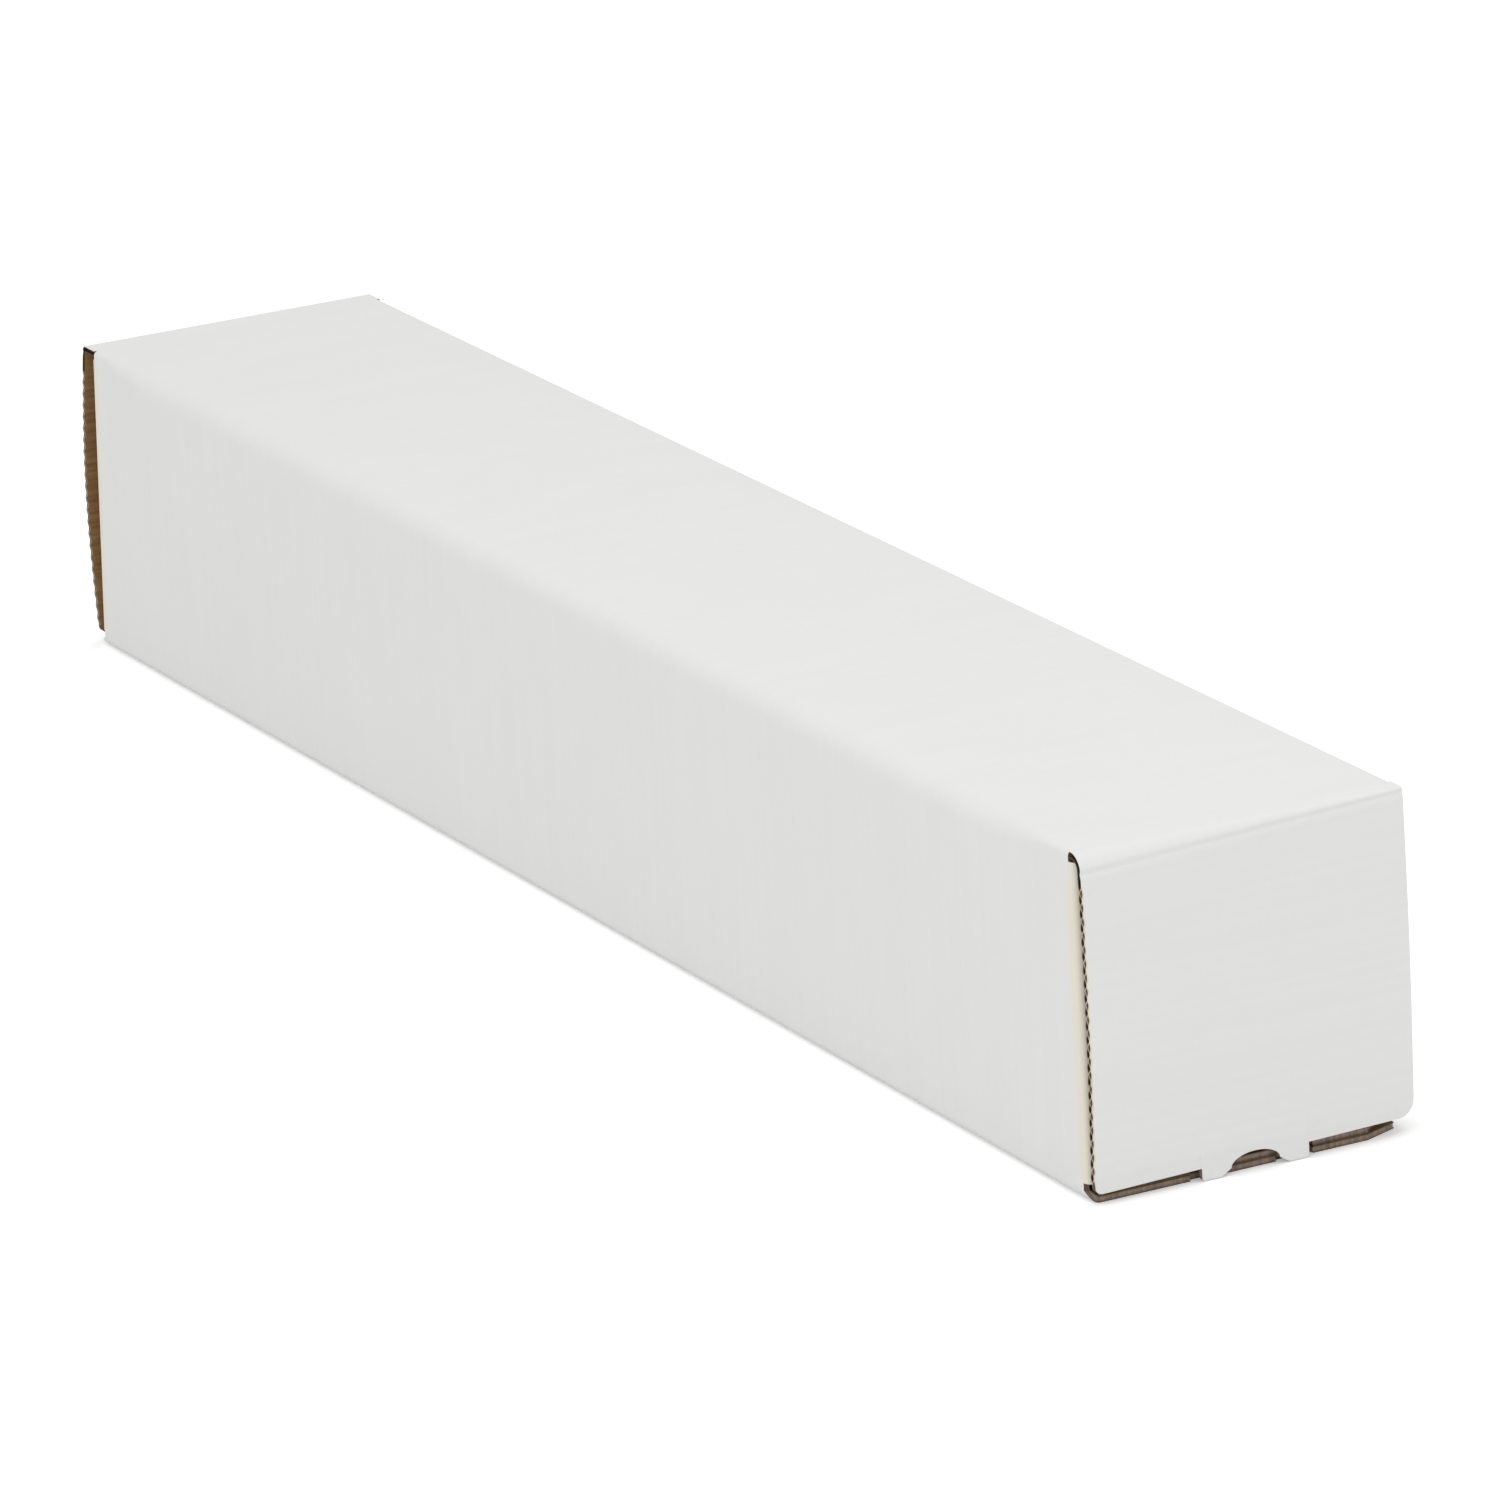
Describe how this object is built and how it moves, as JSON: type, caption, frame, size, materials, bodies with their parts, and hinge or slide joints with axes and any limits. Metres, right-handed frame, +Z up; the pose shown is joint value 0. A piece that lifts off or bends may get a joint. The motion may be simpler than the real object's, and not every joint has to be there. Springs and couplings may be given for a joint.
{
  "type": "long shipping box",
  "caption": "Long square-section corrugated shipping box, folded from one sheet, with a hinged tab-lock flap closing each end.",
  "frame": {"origin": "on the underside, at the middle of the overall box", "axes": "+X along the carton towards the near end flap, -Y the long side that the picture shows, +Z up through the top panel"},
  "size_m": [1.042, 0.165, 0.1614],
  "materials": {
    "white_corrugated_board": "uncoated bleached liner outside, brown kraft inside"
  },
  "bodies": {
    "carton": {"carton_body": "white_corrugated_board"},
    "near_flap": {"near_end_flap": "white_corrugated_board"},
    "far_flap": {"far_end_flap": "white_corrugated_board"}
  },
  "joints": [
    {"name": "near_flap_crease", "type": "hinge", "parent": "carton", "child": "near_flap", "pos_m": [0.51686, 0, 0.1599], "axis": [0, -1, 0], "range_deg": [0, 180]},
    {"name": "far_flap_crease", "type": "hinge", "parent": "carton", "child": "far_flap", "pos_m": [-0.51039, 0, 0.1599], "axis": [0, 1, 0], "range_deg": [0, 180]}
  ]
}
